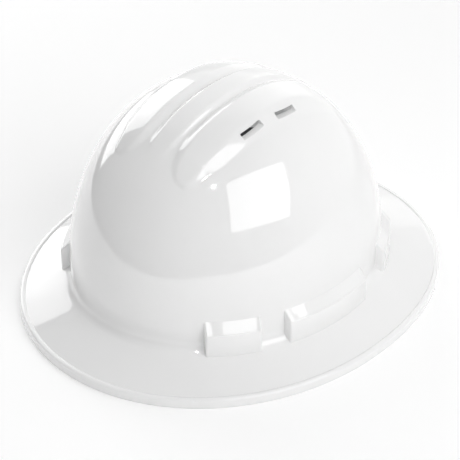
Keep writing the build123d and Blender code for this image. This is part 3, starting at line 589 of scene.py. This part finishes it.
def ribbon(line, name):
    """Webbing along a line of (place, across), laid out lengthwise in its UV, in metres."""
    mesh = bmesh.new()
    layout = mesh.loops.layers.uv.new("UVMap")
    bmesh.ops.create_grid(mesh, x_segments=len(line) - 1, y_segments=6, size=1, calc_uvs=True)
    run = [0]
    for (last, _), (place, _) in zip(line, line[1:]):
        run.append(run[-1] + (place - last).length)
    for vertex in mesh.verts:
        index = round((vertex.co.x + 1) / 2 * (len(line) - 1))
        side = vertex.co.y * webbing_width / 2
        for loop in vertex.link_loops:
            loop[layout].uv = (run[index] * millimetre, side * millimetre)
        vertex.co = line[index][0] + line[index][1] * side
    piece = finished(mesh, name)
    smooth = piece.modifiers.new("smooth", "SUBSURF")
    smooth.levels = smooth.render_levels = 1
    thick = piece.modifiers.new("thickness", "SOLIDIFY")
    thick.thickness = webbing_thickness * millimetre
    thick.offset = 0
    edge = piece.modifiers.new("selvedge", "BEVEL")
    edge.width = selvedge_round * millimetre
    edge.segments = 2
    edge.limit_method = "ANGLE"
    return settled(piece, 40)


def thread(stitches, name):
    """Short rounded stitches, each lying half in the cloth."""
    mesh = bmesh.new()
    for place, direction, outward in stitches:
        side = direction.cross(outward).normalized()
        reach = direction * stitch_pitch * stitch_half_share
        axes = Matrix((reach, side * thread_half_width, outward * thread_half_height)).transposed().to_4x4()
        bmesh.ops.create_icosphere(mesh, subdivisions=2, radius=1, matrix=Matrix.Translation(place) @ axes)
    bmesh.ops.recalc_face_normals(mesh, faces=mesh.faces)
    piece = finished(mesh, name)
    piece.data.shade_smooth()
    return piece


def woven_ribs():
    """Plain weave of webbing in the UV: ribs along it, each pushed half a row on from the next, as height."""
    tree, given, out = effect_group("woven_ribs", {"Vector": None, "Ribs": 1050.0, "Rows": 640.0}, ["Height"])
    parts = node(tree, "ShaderNodeSeparateXYZ")
    ribs = node(tree, "ShaderNodeMath", operation="MULTIPLY")
    rib = node(tree, "ShaderNodeMath", operation="FLOOR")
    rows = node(tree, "ShaderNodeMath", operation="MULTIPLY")
    pushed = node(tree, "ShaderNodeMath", operation="MULTIPLY_ADD")
    pushed.inputs[1].default_value = 0.5
    tree.links.new(given.outputs["Vector"], parts.inputs[0])
    tree.links.new(parts.outputs["Y"], ribs.inputs[0])
    tree.links.new(given.outputs["Ribs"], ribs.inputs[1])
    tree.links.new(ribs.outputs[0], rib.inputs[0])
    tree.links.new(parts.outputs["X"], rows.inputs[0])
    tree.links.new(given.outputs["Rows"], rows.inputs[1])
    tree.links.new(rib.outputs[0], pushed.inputs[0])
    tree.links.new(rows.outputs[0], pushed.inputs[2])
    waves = []
    for count in (ribs, pushed):
        angle = node(tree, "ShaderNodeMath", operation="MULTIPLY")
        angle.inputs[1].default_value = pi
        wave = node(tree, "ShaderNodeMath", operation="SINE")
        height = node(tree, "ShaderNodeMath", operation="ABSOLUTE")
        tree.links.new(count.outputs[0], angle.inputs[0])
        tree.links.new(angle.outputs[0], wave.inputs[0])
        tree.links.new(wave.outputs[0], height.inputs[0])
        waves.append(height)
    woven = node(tree, "ShaderNodeMath", operation="MULTIPLY")
    tree.links.new(waves[0].outputs[0], woven.inputs[0])
    tree.links.new(waves[1].outputs[0], woven.inputs[1])
    tree.links.new(woven.outputs[0], out.inputs["Height"])
    return tree


def knitted_cloth():
    """Fine looped cloth: small loops as height, and a wider unevenness as an output of its own."""
    tree, given, out = effect_group(
        "knitted_cloth", {"Vector": None, "Scale": 1300.0, "Worn Scale": 60.0}, ["Height", "Worn"]
    )
    loops = node(tree, "ShaderNodeTexVoronoi")
    worn = node(tree, "ShaderNodeTexNoise", Detail=4.0, Roughness=0.6)
    tree.links.new(given.outputs["Vector"], loops.inputs["Vector"])
    tree.links.new(given.outputs["Scale"], loops.inputs["Scale"])
    tree.links.new(given.outputs["Vector"], worn.inputs["Vector"])
    tree.links.new(given.outputs["Worn Scale"], worn.inputs["Scale"])
    tree.links.new(loops.outputs["Distance"], out.inputs["Height"])
    tree.links.new(worn.outputs["Fac"], out.inputs["Worn"])
    return tree


def cloth(name, effect, coordinate, deep, raised, depth, sheen):
    """Fabric whose colour and bump follow the height of a weave or knit. Where the deep colour is the darker one, the
    colour mix is painted shade in the hollows and a painted highlight on the raised threads.
    """
    material, tree, shader = new_material(name)
    place = node(tree, "ShaderNodeTexCoord")
    group = node(tree, "ShaderNodeGroup", node_tree=effect)
    blend = node(tree, "ShaderNodeMix", data_type="RGBA")
    blend.inputs[6].default_value = deep + (1,)
    blend.inputs[7].default_value = raised + (1,)
    bump = node(tree, "ShaderNodeBump", Strength=1.0, Distance=depth)
    tree.links.new(place.outputs[coordinate], group.inputs["Vector"])
    tree.links.new(group.outputs["Height"], blend.inputs["Factor"])
    tree.links.new(group.outputs["Height"], bump.inputs["Height"])
    tree.links.new(blend.outputs[2], shader.inputs["Base Color"])
    tree.links.new(bump.outputs["Normal"], shader.inputs["Normal"])
    shader.inputs["Roughness"].default_value = 0.85
    shader.inputs["Sheen Weight"].default_value = sheen
    return material, tree, shader, group


knit = knitted_cloth()
# The webbing and the grey thread are painted darker in the hollows of their weave and knit and lighter on the raised
# threads: painted shade and a painted highlight.
black_webbing, tree, shader, group = cloth(
    "black_webbing", woven_ribs(), "UV", (0.03, 0.03, 0.033), (0.13, 0.13, 0.14), 0.00022, 0.25
)
grey_thread, tree, shader, group = cloth(
    "grey_thread", knit, "Object", (0.42, 0.42, 0.42), (0.6, 0.6, 0.59), 0.00008, 0.2
)
group.inputs["Scale"].default_value = 2600.0
straps = [("lower", key_turn, key_turn - 180, 0), ("upper", -key_turn, 180 - key_turn, lifted_strap)]
for label, front_turn, rear_turn, lifted in straps:
    line = strap_line(front_turn, rear_turn, lifted)
    front_tail, front_stitches = sewn_tail(line, front_turn)
    rear_tail, rear_stitches = sewn_tail(line[::-1], rear_turn)
    run = front_tail[::-1] + [(place, across) for place, across, outward in line[1:-1]] + rear_tail
    strap = ribbon(run, label + "_crown_strap")
    coat_in(strap, black_webbing)
    sewing = thread(front_stitches + rear_stitches, label + "_strap_stitches")
    coat_in(sewing, grey_thread)
    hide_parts("crown_strap_" + label)
    for piece in (strap, sewing):
        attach(piece, "hat")

# Pads. Foam in dark knitted cloth: the sweatband inside the headband's front, sewn into upright channels, and the
# pad on the head side of the ratchet. Cloth under pressure fills each out, then its seams draw it in.
band_middle_y, band_half_width, band_half_length = -6.0, 77.0, 93.0
pad_voxel, pad_cap, end_fill, end_margin, flat_margin, hem_margin = 1.1, 0.9, 0.45, 0.985, 0.35, 0.4
pressure, swell_frames, hem_at, hem_reach, hem_draw, seam_draw, tiny = 4, 20, 0.8, 0.045, 0.5, 0.6, 0.001


def band_place(turn, out):
    """Point off the headband's outer face, at a turn from the front in radians, with the direction outwards."""
    outward = Vector((sin(turn) / band_half_width, -cos(turn) / band_half_length, 0)).normalized()
    face = Vector((band_half_width * sin(turn), band_middle_y - band_half_length * cos(turn), 0))
    return face + outward * out, outward


def cushion(name, turn_of, share_of, level, height, thickness, out, seams):
    """Pad on the headband's line: an oval lens, swelled by cloth and drawn in along its hem and seams."""
    mesh = bmesh.new()
    bmesh.ops.create_icosphere(mesh, subdivisions=5, radius=1)
    for vertex in mesh.verts:
        share = vertex.co.x
        ring = sqrt(max(1 - share * share, 0))
        fill = end_fill + (1 - end_fill) * ring
        close = min((1 - share ** 8) ** 0.5 / max(ring, tiny), 1 / max(ring, tiny))
        middle, outward = band_place(turn_of(share * end_margin), out)
        place = middle + outward * (vertex.co.y * close * (thickness / 2 - flat_margin) * fill)
        vertex.co = place + Vector((0, 0, level + vertex.co.z * close * (height / 2 - hem_margin) * (1 + fill) / 2))
    bmesh.ops.recalc_face_normals(mesh, faces=mesh.faces)
    pad = finished(mesh, name)
    even = pad.modifiers.new("even", "REMESH")
    even.mode = "VOXEL"
    even.voxel_size = pad_voxel * millimetre
    ease = pad.modifiers.new("ease", "SMOOTH")
    ease.factor, ease.iterations = 0.5, 6
    settled(pad, 180)
    count = len(pad.data.vertices) * 3
    before, after = np.empty(count, np.float32), np.empty(count, np.float32)
    pad.data.vertices.foreach_get("co", before)
    after[:] = before
    swell = pad.modifiers.new("swell", "CLOTH")
    swell.settings.use_pressure = True
    swell.settings.uniform_pressure_force = pressure
    swell.settings.effector_weights.gravity = 0
    for step in range(1, swell_frames + 1):
        bpy.context.scene.frame_set(step)
    pad.evaluated_get(bpy.context.evaluated_depsgraph_get()).data.vertices.foreach_get("co", after)
    pad.modifiers.clear()
    bpy.context.scene.frame_set(1)
    moved = (after - before).reshape(-1, 3)
    size = np.linalg.norm(moved, axis=1, keepdims=True)
    places = before.reshape(-1, 3) + moved * np.minimum(1, pad_cap * millimetre / np.maximum(size, 1e-9))
    for vertex, place in zip(pad.data.vertices, places / millimetre):
        share = share_of(place)
        middle, outward = band_place(turn_of(share), out)
        depth = (Vector(place) - middle).dot(outward)
        rise = (place[2] - level) / (height / 2)
        draw = hem_draw * np.exp(-((abs(rise) - hem_at) / hem_reach) ** 2)
        for seam, reach in seams:
            draw = max(draw, seam_draw * np.exp(-((share - seam) / reach) ** 2) if abs(rise) < hem_at else 0)
        vertex.co = (Vector(place) - outward * depth * draw) * millimetre
    round_off = pad.modifiers.new("rounder", "SUBSURF")
    round_off.levels = round_off.render_levels = 1
    settled(pad, 180)
    return pad


brow_span, nape_reach, nape_level, nape_pad_out = radians(38), 26.0, 20.0, -5.02
brow_pad = cushion(
    "brow_sweatband", lambda share: share * brow_span,
    lambda place: np.arctan2(place[0] / band_half_width, -(place[1] - band_middle_y) / band_half_length) / brow_span,
    27.0, 34.0, 4.6, -4.22, [(seam, 0.018) for seam in (-0.75, -0.5, -0.25, 0, 0.25, 0.5, 0.75)],
)
nape_pad = cushion(
    "nape_cushion", lambda share: pi - atan(share * nape_reach / band_half_width),
    lambda place: place[0] / nape_reach, nape_level, 25.0, 5.0, nape_pad_out, [(-0.34, 0.035), (0.34, 0.035)],
)
pad_knit, tree, shader, group = cloth("pad_knit", knit, "Object", (0.1, 0.1, 0.11), (0.05, 0.05, 0.055), 0.00012, 0.3)
for pad, solid, body in ((brow_pad, "brow_pad", "hat"), (nape_pad, "nape_pad", "ratchet")):
    coat_in(pad, pad_knit)
    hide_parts(solid)
    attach(pad, body)

# Nape straps. Flexible nylon with toothed slots, copied from their CAD solids. They run between the side pins and the
# ratchet, which draws their free ends in.
bend_start, bend_end, strap_sharp_deg = (0, 0.01, 0.022), (0, 0.075, 0.022), 30
for label in ("left", "right"):
    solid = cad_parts[label + "_nape_strap"]
    mesh = bmesh.new()
    mesh.from_mesh(solid.data)
    bmesh.ops.remove_doubles(mesh, verts=mesh.verts, dist=weld_distance * millimetre)
    data = bpy.data.meshes.new(label + "_flexible_strap")
    mesh.to_mesh(data)
    mesh.free()
    strap = bpy.data.objects.new(label + "_flexible_strap", data)
    bpy.context.scene.collection.objects.link(strap)
    settled(strap, strap_sharp_deg)
    coat_in(strap, band_nylon)
    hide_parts(label + "_nape_strap")
    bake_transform(strap)

# Ratchet. Casing, cover and knob in black nylon, gear and click disc in pale acetal and the screws in steel, all kept
# as their CAD solids. The knob turns the gear, and the gear draws both nape straps in.
casing_nylon, shader = plastic(
    "casing_nylon", (0.085, 0.085, 0.095), (0.11, 0.11, 0.12), 0.45, 0.06, 1400.0, 0.00003, 0.12
)
knob_nylon, shader = plastic("knob_nylon", (0.05, 0.05, 0.055), (0.065, 0.065, 0.07), 0.5, 0.06, 1400.0, 0.00003, 0.1)
pale_acetal, shader = plastic("pale_acetal", (0.74, 0.74, 0.72), (0.7, 0.7, 0.68), 0.35, 0.05, 1400.0, 0.00001, 0.05)
for name in ("ratchet_housing", "ratchet_cover"):
    coat_in(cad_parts[name], casing_nylon)
coat_in(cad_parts["ratchet_knob"], knob_nylon)
for name in ("ratchet_pinion", "click_disc"):
    coat_in(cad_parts[name], pale_acetal)
screw_steel, shader = plastic("screw_steel", (0.6, 0.6, 0.62), (0.68, 0.68, 0.7), 0.28, 0.05, 2600.0, 0.000006, 0.3)
shader.inputs["Metallic"].default_value = 1.0
for name in ("knob_screw", "cover_screws"):
    coat_in(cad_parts[name], screw_steel)

# Studio. White floor and pale room, three softboxes, a wide fill, a small lamp above the brow and a faint one under the
# hat, so that its inside isn't black through the vents. The floor glows less to the camera than in reflections, which
# keeps the shadow under the brim.
floor_half, floor_glow, mirrored_glow = 900, 0.19, 0.32
room_light, rear_gloss, top_gloss, even_gloss = 0.43, 1.25, 0.2, 0.12
floor_mesh = bmesh.new()
bmesh.ops.create_grid(floor_mesh, x_segments=2, y_segments=2, size=floor_half)
floor = finished(floor_mesh, "studio_floor")
floor_paint, tree, shader = new_material("floor_paint")
shader.inputs["Base Color"].default_value = (0.9, 0.9, 0.9, 1)
shader.inputs["Roughness"].default_value = 0.9
path = node(tree, "ShaderNodeLightPath")
mirrored = node(tree, "ShaderNodeMath", operation="MULTIPLY")
mirrored.inputs[1].default_value = mirrored_glow
lift = node(tree, "ShaderNodeMath", operation="MULTIPLY_ADD")
lift.inputs[1].default_value = floor_glow
tree.links.new(path.outputs["Is Glossy Ray"], mirrored.inputs[0])
tree.links.new(path.outputs["Is Camera Ray"], lift.inputs[0])
tree.links.new(mirrored.outputs["Value"], lift.inputs[2])
shader.inputs["Emission Color"].default_value = (1, 1, 1, 1)
tree.links.new(lift.outputs["Value"], shader.inputs["Emission Strength"])
coat_in(floor, floor_paint)

world = bpy.data.worlds.new("studio_room")
bpy.context.scene.world = world
world.use_nodes = True
tree = world.node_tree
background = tree.nodes["Background"]
background.inputs["Color"].default_value = (1, 1, 1, 1)
path = node(tree, "ShaderNodeLightPath")
facing = node(tree, "ShaderNodeTexCoord")
sides = node(tree, "ShaderNodeSeparateXYZ")
glossy = node(tree, "ShaderNodeMapRange", To_Min=room_light)
seen = node(tree, "ShaderNodeMath", operation="MAXIMUM")
tree.links.new(facing.outputs["Generated"], sides.inputs[0])
total = None
for side, level in (("Y", rear_gloss), ("Z", top_gloss)):
    towards = node(tree, "ShaderNodeMath", operation="MAXIMUM")
    towards.inputs[1].default_value = 0
    added = node(tree, "ShaderNodeMath", operation="MULTIPLY_ADD")
    added.inputs[1].default_value = level
    added.inputs[2].default_value = even_gloss
    tree.links.new(sides.outputs[side], towards.inputs[0])
    tree.links.new(towards.outputs["Value"], added.inputs[0])
    if total:
        tree.links.new(total.outputs["Value"], added.inputs[2])
    total = added
tree.links.new(path.outputs["Is Glossy Ray"], glossy.inputs["Value"])
tree.links.new(total.outputs["Value"], glossy.inputs["To Max"])
tree.links.new(path.outputs["Is Camera Ray"], seen.inputs[0])
tree.links.new(glossy.outputs["Result"], seen.inputs[1])
tree.links.new(seen.outputs["Value"], background.inputs["Strength"])

lamp_aim = Vector((0, -0.01, 0.09))


def soft_light(name, azimuth, elevation, distance, width, height, roll, power):
    """Rectangular lamp facing the hat, with its width and height given in metres."""
    lamp = bpy.data.lights.new(name, "AREA")
    lamp.shape = "RECTANGLE"
    lamp.size, lamp.size_y, lamp.energy = width, height, power
    a, e = radians(azimuth), radians(elevation)
    back = Vector((sin(a) * cos(e), -cos(a) * cos(e), sin(e)))
    piece = bpy.data.objects.new(name, lamp)
    piece.rotation_mode = "QUATERNION"
    piece.location = lamp_aim + back * distance
    piece.rotation_quaternion = back.to_track_quat("Z", "Y") @ Quaternion((0, 0, 1), radians(roll))
    bpy.context.scene.collection.objects.link(piece)


soft_light("key_softbox", 84.6, 38.1, 1.6, 1.3, 1.17, -12, 12.2)
soft_light("low_softbox", -103, 16.8, 1.6, 1.01, 1.05, 5, 7.5)
soft_light("tall_softbox", -155, 27, 1.8, 0.635, 1.756, 0, 0.9)
soft_light("wide_fill", -130, 40, 2.5, 3.2, 2.4, 0, 8.5)
soft_light("small_lamp", 37, 57, 1.6, 0.06, 0.06, 0, 1.6)
soft_light("under_light", 0, -90, 0.088, 0.14, 0.18, 0, 0.06)

camera_azimuth, camera_elevation = radians(43.403), radians(34.603)
camera_place, camera_lens, sensor_width = Vector((0.65699, -0.69537, 0.69847)), 123.17, 36
back = Vector((
    sin(camera_azimuth) * cos(camera_elevation), -cos(camera_azimuth) * cos(camera_elevation), sin(camera_elevation)
))
camera_data = bpy.data.cameras.new("photo_camera")
camera_data.sensor_width = sensor_width
camera_data.lens = camera_lens
camera = bpy.data.objects.new("photo_camera", camera_data)
camera.rotation_mode = "QUATERNION"
camera.location = camera_place
camera.rotation_quaternion = back.to_track_quat("Z", "Y")
bpy.context.scene.collection.objects.link(camera)
bpy.context.scene.camera = camera
bpy.context.scene.view_settings.view_transform = "Standard"
